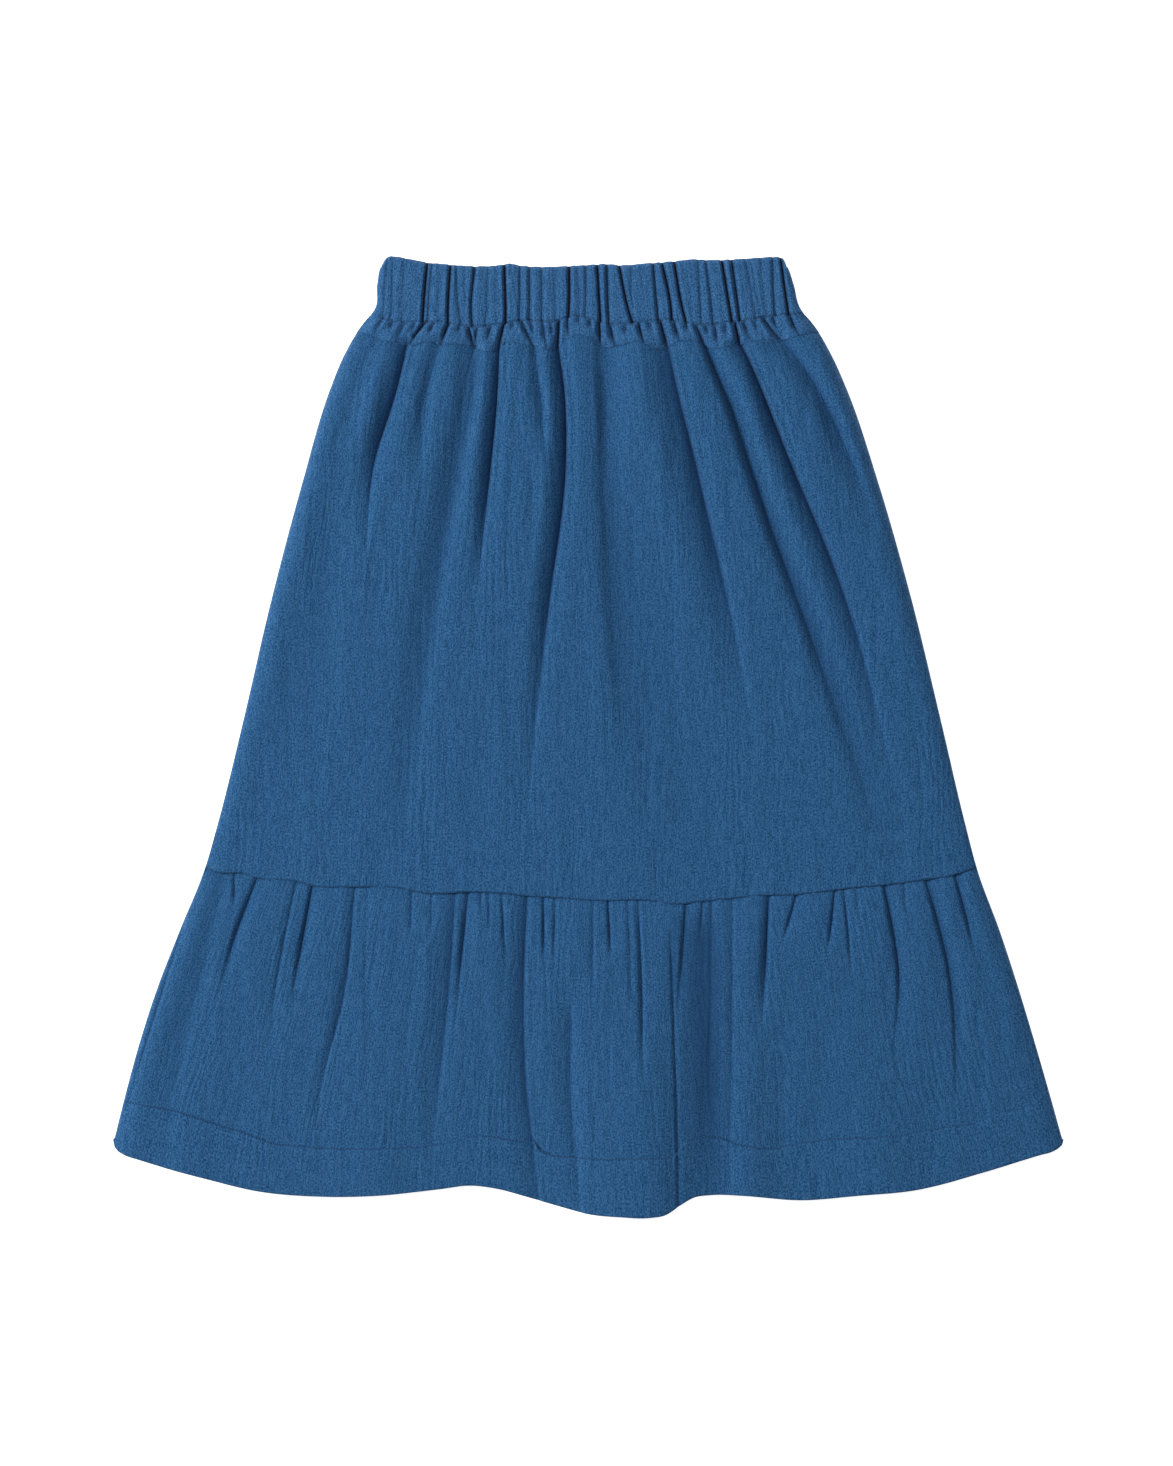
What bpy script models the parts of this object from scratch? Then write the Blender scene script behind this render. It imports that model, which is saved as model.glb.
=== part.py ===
"""A gathered midi skirt in cotton double gauze, laid flat with its front up.

The skirt is a tube pressed flat. Six cloth walls make it up: the front and the back of the elastic
waistband, of the flared skirt panel, and of the gathered flounce with its turned-up hem. X runs across
the skirt, Y up towards the waist and Z out of the front. The back rests on Z = 0.
Lengths are in millimetres until the meshes are made, and a place down a panel is its share of the
panel's length, from 0 at the panel's top to 1 at its bottom.
"""

from collections import namedtuple

import bpy
import numpy as np

MM = 0.001

CLOTH_WALL = 1.1  # two layers of gauze, fluffed up by their crinkle
HEM_WALL = 2.2  # the flounce's end turned up inside
HEM_TURN = 0.845  # how far down the flounce the turned-up hem begins, 38 mm above its edge
CASING_BACK_WALL = 3.6  # casing cloth, elastic and gathers together
CASING_PLAIN_WALL = 1.9  # the same at the bottom of a groove
CASING_FRONT_RIB = 3.4  # the gathers above that, on the front
SEAM_GAP = 0.3  # between two pieces that are sewn together
LAYER_GAP = 0.45  # between the front and the back where they lie on each other
SIDE_ROUND = 26.0  # width over which the front rolls down to the side
BAND_ROUND = 7.0  # the same on the waistband
ELASTIC_ROW_Y = 340.0  # the stitched row that closes the elastic's channel
ELASTIC_ROW_WIDTH = 3.0

# The garment's sides: height up the skirt, left side, right side.
SIDES = (
    (-336, -390, 390),
    (-307, -383, 382),
    (-258, -370, 368),
    (-208, -354, 353),
    (-159, -335, 337),
    (-110, -315, 319),
    (-72, -304, 309),
    (13, -283, 289),
    (112, -260, 265),
    (210, -234, 237),
    (284, -212, 212),
    (313, -200, 199),
    (332, -189, 188),
    (340, -183, 182),
    (348, -176, 175),
    (370, -173, 168),
    (382, -171, 164),
    (390, -168, 160),
)

# The edges and seams that run across it: distance across, height.
TOP_EDGE = (
    (-168, 388), (-160, 392.5), (-148, 391), (-122, 387), (-72, 386), (0, 386),
    (50, 387.5), (100, 390), (142, 392), (152, 392.5), (161, 388),
)
BAND_SEAM = ((-190, 331), (-171, 325), (-150, 320), (-72, 316), (0, 318), (146, 320), (190, 331))
FLOUNCE_SEAM = (
    (-315, -108), (-302, -112), (-226, -123), (-155, -125), (-93, -128), (-52, -131), (9, -135),
    (71, -138), (141, -131), (198, -127), (235, -123), (276, -118), (318, -108),
)
HEM_EDGE = (
    (-390, -334), (-384, -341), (-368, -347), (-319, -361), (-269, -373), (-220, -377), (-171, -376),
    (-122, -371), (-97, -368), (-73, -371), (-48, -378), (-23, -385), (1, -391), (26, -393),
    (50, -393.5), (75, -384), (100, -376), (124, -376), (173, -380), (223, -376), (272, -371),
    (321, -358), (370, -343), (385, -339), (390, -334),
)

BACK_HEM_EDGE = (
    (-390, -334), (-384, -340), (-368, -345), (-319, -358), (-269, -367), (-171, -369), (-97, -365),
    (0, -368), (100, -370), (173, -374), (223, -372), (272, -367), (321, -355), (370, -341),
    (385, -338), (390, -334),
)

# A fold is a valley: its line across the panel at the panel's stations, its depth as a share of the
# puff, where it starts and ends down the panel, and the widths of its left and right slopes.
Fold = namedtuple("Fold", "line depth start end left right")

PANEL_STATIONS = (0.0, 0.09, 0.23, 0.46, 1.0)
FRONT_FOLDS = (
    Fold((-177, -193, -207, -220, -275), 0.35, 0.0, 0.80, 25, 16),
    Fold((-150, -157, -175, -183, -228), 0.85, 0.0, 0.50, 15, 8),
    Fold((-122, -131, -138, -150, -175), 0.40, 0.0, 0.30, 14, 9),
    Fold((-92, -93, -105, -126, -150), 0.55, 0.0, 0.85, 18, 10),
    Fold((-73, -75, -81, -91, -105), 0.80, 0.0, 0.60, 12, 8),
    Fold((-44, -39, -35, -48, -60), 0.50, 0.0, 0.22, 10, 8),
    Fold((-25, -20, -19, -32, -40), 0.95, 0.0, 0.95, 15, 8),
    Fold((10, 13, 15, 20, 65), 0.60, 0.0, 1.00, 9, 15),
    Fold((65, 73, 89, 114, 153), 0.78, 0.0, 0.85, 18, 8),
    Fold((95, 112, 132, 169, 253), 0.80, 0.0, 1.05, 14, 8),
    Fold((127, 142, 166, 207, 268), 0.90, 0.0, 1.05, 15, 8),
    Fold((162, 186, 216, 247, 288), 0.55, 0.0, 0.45, 15, 9),
)
BACK_FOLDS = (
    Fold((-158, -170, -184, -202, -240), 0.75, 0.0, 0.55, 8, 16),
    Fold((-118, -126, -137, -152, -180), 0.90, 0.0, 0.62, 9, 15),
    Fold((-84, -89, -95, -104, -120), 0.60, 0.0, 0.40, 12, 12),
    Fold((-50, -52, -56, -62, -70), 0.95, 0.0, 0.66, 8, 15),
    Fold((-12, -12, -10, -6, 0), 0.70, 0.0, 0.50, 15, 9),
    Fold((30, 33, 38, 45, 60), 0.90, 0.0, 0.60, 15, 9),
    Fold((66, 72, 80, 92, 112), 0.65, 0.0, 0.45, 10, 13),
    Fold((104, 114, 127, 148, 180), 0.95, 0.0, 0.66, 9, 16),
    Fold((150, 163, 180, 204, 245), 0.70, 0.0, 0.48, 14, 9),
)

FLOUNCE_STATIONS = (0.0, 0.33, 0.67, 1.0)
FLOUNCE_FRONT_FOLDS = (
    Fold((-309, -336, -360, -374), 0.30, 0.0, 1.10, 10, 10),
    Fold((-290, -289, -288, -288), 0.50, 0.0, 0.14, 6, 6),
    Fold((-271, -297, -302, -305), 0.70, 0.0, 0.45, 8, 12),
    Fold((-239, -255, -265, -275), 0.50, 0.0, 0.60, 9, 9),
    Fold((-226, -240, -246, -252), 0.90, 0.0, 0.45, 7, 12),
    Fold((-191, -199, -219, -225), 0.60, 0.0, 0.90, 12, 8),
    Fold((-144, -147, -148, -150), 0.30, 0.0, 0.25, 7, 7),
    Fold((-109, -116, -127, -132), 0.55, 0.0, 1.00, 14, 9),
    Fold((-98, -106, -112, -118), 0.75, 0.0, 0.40, 7, 7),
    Fold((-71, -67, -66, -66), 0.50, 0.0, 0.28, 7, 7),
    Fold((-51, -52, -51, -41), 0.78, 0.0, 1.20, 14, 9),
    Fold((-37, -36, -36, -36), 0.60, 0.0, 0.26, 6, 6),
    Fold((-15, -14, -14, -5), 0.45, 0.35, 1.20, 12, 9),
    Fold((4, 4, 5, 5), 0.35, 0.0, 0.35, 7, 7),
    Fold((17, 20, 21, 22), 0.70, 0.0, 0.28, 7, 7),
    Fold((41, 44, 45, 46), 0.50, 0.0, 0.62, 8, 8),
    Fold((78, 79, 83, 90), 0.92, 0.0, 1.30, 8, 18),
    Fold((101, 100, 99, 108), 0.50, 0.0, 1.00, 8, 8),
    Fold((117, 117, 117, 114), 0.65, 0.0, 0.95, 12, 8),
    Fold((148, 144, 140, 138), 0.95, 0.0, 0.55, 12, 8),
    Fold((171, 150, 148, 146), 0.75, 0.0, 0.20, 7, 7),
    Fold((202, 194, 192, 190), 0.70, 0.0, 0.26, 7, 7),
    Fold((212, 216, 218, 220), 0.50, 0.0, 0.34, 7, 7),
    Fold((242, 254, 247, 245), 0.85, 0.0, 0.62, 9, 12),
    Fold((276, 299, 297, 297), 0.75, 0.0, 0.82, 9, 14),
    Fold((300, 322, 330, 335), 0.70, 0.0, 0.30, 7, 9),
)

# The waistband's grooves: where each is at the top, middle and bottom, and its depth.
BAND_STATIONS = (0.0, 0.5, 1.0)
BAND_GROOVES = (
    (-161, -162, -165, 0.40), (-150, -152, -151, 0.45), (-132, -135, -136, 0.95),
    (-121, -123, -122, 0.40), (-113, -115, -114, 0.85), (-106, -105, -101, 0.70),
    (-93, -96, -91, 0.75), (-82, -83, -85, 0.40), (-76, -75, -74, 0.35), (-69, -68, -68, 0.95),
    (-56, -56, -57, 0.65), (-48, -48, -49, 0.60), (-38, -38, -37, 0.50), (-27, -27, -27, 0.40),
    (-16, -16, -18, 0.90), (-9, -7, -9, 0.35), (-2, -2, -3, 0.60), (7, 9, 11, 0.90),
    (15, 16, 19, 0.80), (26, 32, 40, 0.85), (36, 38, 46, 0.45), (53, 55, 58, 0.75),
    (61, 67, 69, 0.95), (70, 76, 84, 0.90), (90, 91, 94, 0.55), (97, 101, 104, 0.60),
    (109, 115, 120, 0.95), (117, 122, 127, 0.75), (129, 135, 142, 0.50), (141, 144, 149, 0.40),
    (151, 153, 156, 0.60), (157, 161, 166, 0.80),
)
GROOVE_SLOPE = 4.2

# How far the back's folds rise and the front puffs up: place down the panel, height.
BACK_RISE = ((0, 2.4), (0.05, 4.0), (0.12, 4.6), (0.3, 3.6), (0.6, 2.0), (1, 1.2))
FRONT_PUFF = ((0, 3.4), (0.05, 8.6), (0.12, 11.0), (0.3, 9.2), (0.55, 6.2), (0.8, 3.8), (1, 2.6))
FLOUNCE_BACK_RISE = ((0, 1.2), (0.12, 2.6), (0.4, 2.2), (0.75, 1.6), (1, 1.2))
FLOUNCE_FRONT_PUFF = ((0, 2.6), (0.1, 4.8), (0.35, 4.6), (0.7, 3.8), (1, 3.2))

# The flounce's broad waves stand above the rest of its front: middle line at the flounce's stations,
# half width, height at the hem, and where down the flounce the wave begins.
Wave = namedtuple("Wave", "line reach height start")
HEM_WAVES = (
    Wave((18, 22, 30, 36), 62, 8.0, 0.15),
    Wave((118, 124, 128, 132), 34, 3.0, 0.10),
    Wave((-160, -165, -172, -180), 50, 2.2, 0.30),
    Wave((215, 225, 232, 240), 46, 2.6, 0.25),
    Wave((-285, -300, -316, -330), 34, 1.6, 0.30),
)

CLOTH_BLUE = (0.030, 0.106, 0.242, 1.0)


def curve(rows, at):
    """A smooth curve through (place, value) rows, a cubic Hermite between each two of them."""
    places, values = np.array(rows, float).T
    slopes = np.gradient(values, places)
    low = np.clip(np.searchsorted(places, at) - 1, 0, len(places) - 2)
    span = places[low + 1] - places[low]
    u = np.clip((at - places[low]) / span, 0, 1)
    start = values[low] * (1 + 2 * u) * (1 - u) ** 2 + slopes[low] * span * u * (1 - u) ** 2
    end = values[low + 1] * u * u * (3 - 2 * u) + slopes[low + 1] * span * u * u * (u - 1)
    return start + end


def ease(low, high, at):
    """0 below low, 1 above high, and a smooth S between them."""
    u = np.clip((at - low) / (high - low), 0, 1)
    return u * u * (3 - 2 * u)


def round_over(distance, radius):
    """The height share of a quarter circle, from 0 at the edge to 1 a radius inside it."""
    return np.sqrt(1 - (1 - np.clip(distance / radius, 0, 1)) ** 2)


def fold_line(fold, stations, down):
    return curve(tuple(zip(stations, fold.line)), down)


def smoothness(across, down, stations, folds):
    """The share of the puff that the folds leave at each point, 1 away from all of them."""
    left = np.ones_like(across)
    for fold in folds:
        offset = across - fold_line(fold, stations, down)
        slope = np.where(offset < 0, fold.left, fold.right)
        valley = np.cos(np.pi / 2 * np.clip(np.abs(offset) / slope, 0, 1)) ** 2
        fading = 1 - ease(fold.end * 0.45, fold.end, down)
        if fold.start > 0:
            fading = fading * ease(fold.start - 0.1, fold.start + 0.1, down)
        left = left * (1 - fold.depth * fading * valley)
    return left


def panel_grid(top, bottom, downs, columns, stations, folds):
    """The panel's points in plan, as rows from the top down: across, height and distance to the side.

    The columns crowd round the folds and the two sides, where the wall bends most.
    """
    rows = []
    heights, lefts, rights = np.array(SIDES, float).T
    for down in downs:
        side_y = [curve(top, side) * (1 - down) + curve(bottom, side) * down for side in (-1e3, 1e3)]
        left = curve(tuple(zip(heights, lefts)), np.array([side_y[0]]))[0]
        right = curve(tuple(zip(heights, rights)), np.array([side_y[1]]))[0]
        fine = np.linspace(left, right, 1500)
        crowding = 1 + 3 * np.exp((left - fine) / 8) + 3 * np.exp((fine - right) / 8)
        for fold in folds:
            line = fold_line(fold, stations, np.array([down]))[0]
            crowding = crowding + 4 * fold.depth * np.exp(-(((fine - line) / 6) ** 2))
        measure = np.cumsum(crowding)
        wanted = np.linspace(measure[0], measure[-1], columns + 1)
        x = np.interp(wanted, measure, fine)
        y = curve(top, x) * (1 - down) + curve(bottom, x) * down
        rows.append(np.stack([x, y, np.minimum(x - left, right - x)]))
    return np.stack(rows, axis=1)


def gauze(name):
    """Matte blue double gauze for one piece."""
    material = bpy.data.materials.new(name + "_gauze")
    material.use_nodes = True
    shader = material.node_tree.nodes["Principled BSDF"]
    shader.inputs["Base Color"].default_value = CLOTH_BLUE
    shader.inputs["Roughness"].default_value = 0.92
    shader.inputs["Metallic"].default_value = 0.0
    material.diffuse_color = CLOTH_BLUE
    return material


def cloth_wall(name, x, y, z, thickness, faces_up, grows_out):
    """A grid sheet through the points, given its thickness by Solidify.

    The sheet faces up on the front and down on the back. The wall grows from it to its outer side,
    or from an outer sheet to its inner side.
    """
    rows, columns = x.shape
    bpy.ops.mesh.primitive_grid_add(x_subdivisions=columns - 1, y_subdivisions=rows - 1, size=2)
    piece = bpy.context.object
    piece.name = name
    mesh = piece.data
    mesh.name = name
    plain = np.empty(len(mesh.vertices) * 3, np.float32)
    mesh.vertices.foreach_get("co", plain)
    plain = plain.reshape(-1, 3)
    column = np.rint((plain[:, 0] + 1) / 2 * (columns - 1)).astype(int)
    row = np.rint((1 - plain[:, 1]) / 2 * (rows - 1)).astype(int)
    points = np.stack([x, y, z], axis=-1)[row, column] * MM
    mesh.vertices.foreach_set("co", points.ravel())
    if not faces_up:
        mesh.flip_normals()
    mesh.shade_smooth()
    thickness = np.broadcast_to(thickness, x.shape)
    thickest = float(thickness.max())
    shares = piece.vertex_groups.new(name="wall")
    for vertex, share in enumerate(thickness[row, column] / thickest):
        shares.add([vertex], float(share), "REPLACE")
    wall = piece.modifiers.new("wall", "SOLIDIFY")
    wall.thickness = thickest * MM
    wall.offset = 1 if grows_out else -1
    wall.vertex_group = shares.name
    mesh.materials.append(gauze(name))
    return piece


def waistband(grooves):
    """The casing's two sides: plain inside, with the gathers' ribs raised on the outer points."""
    downs = np.array([0.0, 0.07, 0.36, 0.62, 0.69, 0.78, 1.0])
    bottom = tuple((place, height + SEAM_GAP / 2) for place, height in BAND_SEAM)
    pieces = []
    for side, columns, folds in (("front", 112, grooves), ("back", 80, uneven_grooves())):
        x, y, inward = panel_grid(TOP_EDGE, bottom, downs, columns, BAND_STATIONS, folds)
        down = np.broadcast_to(downs[:, None], x.shape)
        ribs = smoothness(x, down, BAND_STATIONS, folds)
        stitched = 1 - 0.6 * np.exp(-(((y - ELASTIC_ROW_Y) / ELASTIC_ROW_WIDTH) ** 2))
        rolled = round_over(inward + 1, BAND_ROUND) * round_over(down * 70 + 2, 6)
        if side == "front":
            plain = np.full_like(x, CASING_BACK_WALL + LAYER_GAP)
            thickness = CASING_PLAIN_WALL * rolled + CASING_FRONT_RIB * ribs * stitched * rolled
        else:
            plain = np.full_like(x, CASING_BACK_WALL)
            deep = CASING_BACK_WALL - CASING_PLAIN_WALL
            thickness = CASING_PLAIN_WALL + deep * ribs
        pieces.append(cloth_wall("waistband_" + side, x, y, plain, thickness, side == "front", True))
    return pieces


def uneven_grooves():
    """The back casing's grooves, about 11 mm apart and as uneven as the front's."""
    count = 30
    grooves = []
    for index in range(count):
        line = -158 + 316 * (index + 0.5 + 0.3 * np.sin(2.4 * index)) / count
        depth = 0.65 + 0.3 * np.sin(1.7 * index + 0.6)
        lean = 0.03 * line + 1.5 * np.sin(3.1 * index)
        lines = (line, line + lean / 2, line + lean)
        grooves.append(Fold(lines, depth, 0.0, 3.0, GROOVE_SLOPE, GROOVE_SLOPE))
    return grooves


def waves_height(across, down):
    """How far the hem's waves lift each point: a squared cosine across, growing towards the hem."""
    lift = np.zeros_like(across)
    for wave in HEM_WAVES:
        offset = across - fold_line(wave, FLOUNCE_STATIONS, down)
        hump = np.cos(np.pi / 2 * np.clip(np.abs(offset) / wave.reach, 0, 1)) ** 2
        lift = lift + wave.height * hump * ease(wave.start, 1.0, down)
    return lift


def flounce_back_folds():
    """The gathers of the flounce's back, of three lengths in turn."""
    count = 17
    folds = []
    for index in range(count):
        line = -290 + 580 * (index + 0.5 + 0.28 * np.sin(2.9 * index)) / count
        end = (0.85, 0.38, 0.58)[index % 3]
        depth = 0.72 + 0.2 * np.sin(1.9 * index)
        spread = 1 + 0.22 * np.array(FLOUNCE_STATIONS)
        folds.append(Fold(tuple(line * spread), depth, 0.0, end, 9, 13))
    return folds


def cloth_panels(name, downs, stations, sides, rise_rows, puff_rows, walls):
    """A tier's front and back: the back folds rise inside it, and the front puffs up over them."""
    rise = curve(rise_rows, downs)[:, None]
    walls = walls[:, None]
    pieces = []
    for side, top, bottom, columns, folds in sides:
        x, y, inward = panel_grid(top, bottom, downs, columns, stations, folds)
        down = np.broadcast_to(downs[:, None], x.shape)
        left = smoothness(x, down, stations, folds)
        rolled = round_over(inward, SIDE_ROUND)
        if side == "back":
            z = rise * rolled * (1 - left)
        else:
            puff = curve(puff_rows, downs)[:, None]
            if name == "flounce":
                puff = puff + waves_height(x, down)
            z = 2 * walls + SEAM_GAP + (LAYER_GAP - SEAM_GAP + rise + puff * left) * rolled
        pieces.append(cloth_wall(name + "_" + side, x, y, z, walls, side == "front", False))
    return pieces


def lowered(rows, by):
    return tuple((place, height - by) for place, height in rows)


def clear_scene():
    for old in list(bpy.data.objects):
        bpy.data.objects.remove(old, do_unlink=True)


def main():
    clear_scene()
    grooves = [Fold(row[:3], row[3], 0.0, 3.0, GROOVE_SLOPE, GROOVE_SLOPE) for row in BAND_GROOVES]
    pieces = waistband(grooves)
    panel_top = lowered(BAND_SEAM, SEAM_GAP / 2)
    panel_bottom = lowered(FLOUNCE_SEAM, -SEAM_GAP / 2)
    flounce_top = lowered(FLOUNCE_SEAM, SEAM_GAP / 2)
    downs = np.array([0.0, 0.025, 0.06, 0.11, 0.17, 0.25, 0.34, 0.45, 0.58, 0.72, 0.87, 1.0])
    sides = (
        ("front", panel_top, panel_bottom, 76, FRONT_FOLDS),
        ("back", panel_top, panel_bottom, 48, BACK_FOLDS),
    )
    walls = np.full_like(downs, CLOTH_WALL)
    pieces += cloth_panels("skirt", downs, PANEL_STATIONS, sides, BACK_RISE, FRONT_PUFF, walls)
    downs = np.array([0.0, 0.06, 0.16, 0.3, 0.5, 0.68, 0.82, HEM_TURN, 1.0])
    sides = (
        ("front", flounce_top, HEM_EDGE, 104, FLOUNCE_FRONT_FOLDS),
        ("back", flounce_top, BACK_HEM_EDGE, 60, flounce_back_folds()),
    )
    walls = np.where(downs < HEM_TURN, CLOTH_WALL, HEM_WALL)
    pieces += cloth_panels(
        "flounce", downs, FLOUNCE_STATIONS, sides, FLOUNCE_BACK_RISE, FLOUNCE_FRONT_PUFF, walls
    )
    skirt = bpy.data.collections.new("tiered_skirt")
    bpy.context.scene.collection.children.link(skirt)
    for piece in pieces:
        for home in list(piece.users_collection):
            home.objects.unlink(piece)
        skirt.objects.link(piece)


main()
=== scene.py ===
from collections import namedtuple

import bpy
import numpy as np
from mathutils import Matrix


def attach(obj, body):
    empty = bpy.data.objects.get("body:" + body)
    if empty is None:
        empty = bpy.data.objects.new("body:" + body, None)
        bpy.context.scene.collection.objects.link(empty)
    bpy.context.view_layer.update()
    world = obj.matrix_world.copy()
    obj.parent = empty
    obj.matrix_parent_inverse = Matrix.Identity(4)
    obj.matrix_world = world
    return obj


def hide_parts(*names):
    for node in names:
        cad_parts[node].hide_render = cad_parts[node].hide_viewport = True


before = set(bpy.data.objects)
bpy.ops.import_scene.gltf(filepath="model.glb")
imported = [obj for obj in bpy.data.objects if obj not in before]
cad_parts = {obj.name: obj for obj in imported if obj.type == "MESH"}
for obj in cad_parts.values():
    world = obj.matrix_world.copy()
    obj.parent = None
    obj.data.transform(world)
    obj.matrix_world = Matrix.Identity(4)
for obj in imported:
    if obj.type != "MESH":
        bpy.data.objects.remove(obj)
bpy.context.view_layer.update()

# The front skirt panel, one width of blue cotton double gauze cut as a flared trapezium. Its wide top
# is gathered into the waistband, so deep folds fan down from there and fade towards the flounce.
# Sizes are in millimetres: x across the skirt, y up towards the waist, z up from the floor.
MM = 0.001
CLOTH = 0.9
LAYERS_APART = 0.45
FLOOR_CLEAR = 0.05
SIDE_ROLL = 17.0
SEAM_STEP = 0.6
PANEL_TOP, PANEL_BOTTOM, PANEL_LONG = 460, 632, 455

# The skirt's two sides, in rows of y, the left side's x and the right side's x.
SIDES = (
    (-336, -390, 390), (-307, -383, 382), (-258, -370, 368), (-208, -354, 353), (-159, -335, 337),
    (-110, -315, 319), (-72, -304, 309), (13, -283, 289), (112, -260, 265), (210, -234, 237),
    (284, -212, 212), (313, -200, 199), (332, -189, 188), (340, -183, 182), (348, -176, 175),
    (370, -173, 168), (382, -171, 164), (390, -168, 160),
)
# The seam under the waistband and the one over the flounce, in rows of x and y.
BAND_SEAM = (
    (-190, 331), (-171, 325), (-155, 321), (-146, 319), (-130, 322.5), (-121, 319.5), (-109, 320.5),
    (-97, 319), (-89, 316), (-75, 315.5), (-69, 320.5), (-52, 320), (-44, 318), (-24, 318.5),
    (-19, 323), (7, 322.5), (11, 319), (26, 319.5), (45, 321), (49, 318), (64, 317), (68, 319.5),
    (91, 321.5), (96, 319), (124, 320), (128, 321.5), (146, 321), (151, 321), (160, 324), (190, 331),
)
FLOUNCE_SEAM = (
    (-315, -108), (-302, -112), (-282, -113), (-273, -116), (-236, -120), (-226, -123), (-195, -124),
    (-154, -125), (-134, -129), (-93, -128), (-72, -129), (-52, -131), (-23, -133), (9, -135),
    (50, -135), (71, -138), (91, -136), (112, -134), (141, -131), (173, -130), (198, -127),
    (214, -125), (235, -123), (255, -121), (276, -118), (296, -115), (318, -108),
)

# A fold's line has an x for each station, a share of the way down the piece. Its depth is a share of
# the puff, it starts and ends at shares of the way down, and its slopes have a left and a right width.
Fold = namedtuple("Fold", "line depth start end left right")
PANEL_STATIONS = (0.0, 0.09, 0.23, 0.46, 1.0)
PANEL_WIDENING = 0.9
PANEL_FOLDS = (
    Fold((-177, -193, -207, -220, -275), 0.35, 0.0, 1.30, 22, 22),
    Fold((-148, -157, -175, -183, -228), 0.90, 0.0, 0.44, 12, 2.5),
    Fold((-122, -131, -138, -150, -175), 0.45, 0.0, 0.30, 10, 7),
    Fold((-93, -96, -107, -126, -162), 0.58, 0.0, 1.25, 17, 9),
    Fold((-73, -75, -81, -91, -105), 0.93, 0.0, 0.52, 8, 2.5),
    Fold((-44, -39, -35, -48, -60), 0.50, 0.0, 0.22, 8, 6),
    Fold((-25, -20, -19, -32, -58), 0.98, 0.0, 0.97, 9, 2.5),
    Fold((10, 13, 15, 20, 62), 0.50, 0.0, 1.10, 9, 20),
    Fold((20, 24, 30, 42, 92), 0.30, 0.30, 1.50, 24, 40),
    Fold((65, 73, 89, 114, 153), 0.90, 0.0, 0.80, 19, 3),
    Fold((94, 112, 132, 169, 253), 0.85, 0.0, 1.20, 5, 15),
    Fold((124, 142, 166, 207, 268), 0.98, 0.0, 1.00, 12, 2.5),
    Fold((158, 184, 214, 247, 288), 0.65, 0.0, 0.45, 13, 6),
    Fold((-160, -165, -177, -192, -206), -0.22, 0.22, 0.75, 3, 3),
    Fold((-150, -155, -168, -183, -197), -0.16, 0.26, 0.62, 2.5, 2.5),
    Fold((-98, -98, -98, -98, -102), 0.30, 0.70, 0.95, 3, 2),
)
# How far the back's folds rise inside the skirt, and how far the front puffs up over them, in rows of
# the share of the way down and the height.
PANEL_RISE = ((0, 3.0), (0.05, 4.0), (0.12, 4.6), (0.3, 3.6), (0.6, 2.0), (1, 1.2))
PANEL_PUFF = ((0, 7.6), (0.05, 9.6), (0.12, 11.0), (0.3, 9.2), (0.55, 6.2), (0.8, 3.8), (1, 2.6))


def curve(rows, at):
    """A cubic Hermite curve through (place, value) rows, its slopes taken from the rows beside each."""
    places, values = np.array(rows, float).T
    slopes = np.gradient(values, places)
    low = np.clip(np.searchsorted(places, at) - 1, 0, len(places) - 2)
    span = places[low + 1] - places[low]
    u = np.clip((at - places[low]) / span, 0, 1)
    start = values[low] * (1 + 2 * u) * (1 - u) ** 2 + slopes[low] * span * u * (1 - u) ** 2
    end = values[low + 1] * u * u * (3 - 2 * u) + slopes[low + 1] * span * u * u * (u - 1)
    return start + end


def ease(low, high, at):
    """0 below low, 1 above high, and a smooth S between them."""
    u = np.clip((at - low) / (high - low), 0, 1)
    return u * u * (3 - 2 * u)


def roll(distance, radius):
    """The height share of a quarter circle, from 0 at the edge to 1 a radius inside it."""
    return np.sqrt(1 - (1 - np.clip(distance / radius, 0, 1)) ** 2)


def dip(offset, width):
    """A bell of height 1, the given width from its middle to where it has fallen to about a third."""
    return np.exp(-((offset / width) ** 2))


def noise(across, along, pitch_across, pitch_along, seed):
    """Smooth random heights between -1 and 1: a lattice of them, eased from each to the next."""
    size = 256
    lattice = np.random.default_rng(seed).uniform(-1, 1, (size, size))
    u = across / pitch_across + size / 2
    v = along / pitch_along + size / 2
    column = np.floor(u).astype(int)
    row = np.floor(v).astype(int)
    u = ease(0, 1, u - column)
    v = ease(0, 1, v - row)
    low = lattice[column % size, row % size] * (1 - u) + lattice[(column + 1) % size, row % size] * u
    row = row + 1
    high = lattice[column % size, row % size] * (1 - u) + lattice[(column + 1) % size, row % size] * u
    return low * (1 - v) + high * v


def tucks(fan, x, y, seed):
    """The broad crinkle of double gauze, 0 to 1: soft wandering creases along the zero lines of
    stretched noise. One set fans out with the folds, and a shorter one runs along the grain."""
    wander = 4 * noise(x, y, 60, 90, seed)
    fanned = (1 - np.abs(noise(fan + wander, y, 13.0, 150, seed + 1))) ** 4
    upright = (1 - np.abs(noise(x + wander, y, 10.0, 46, seed + 2))) ** 3
    return np.clip(0.6 * fanned + 0.5 * upright, 0, 1)


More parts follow.
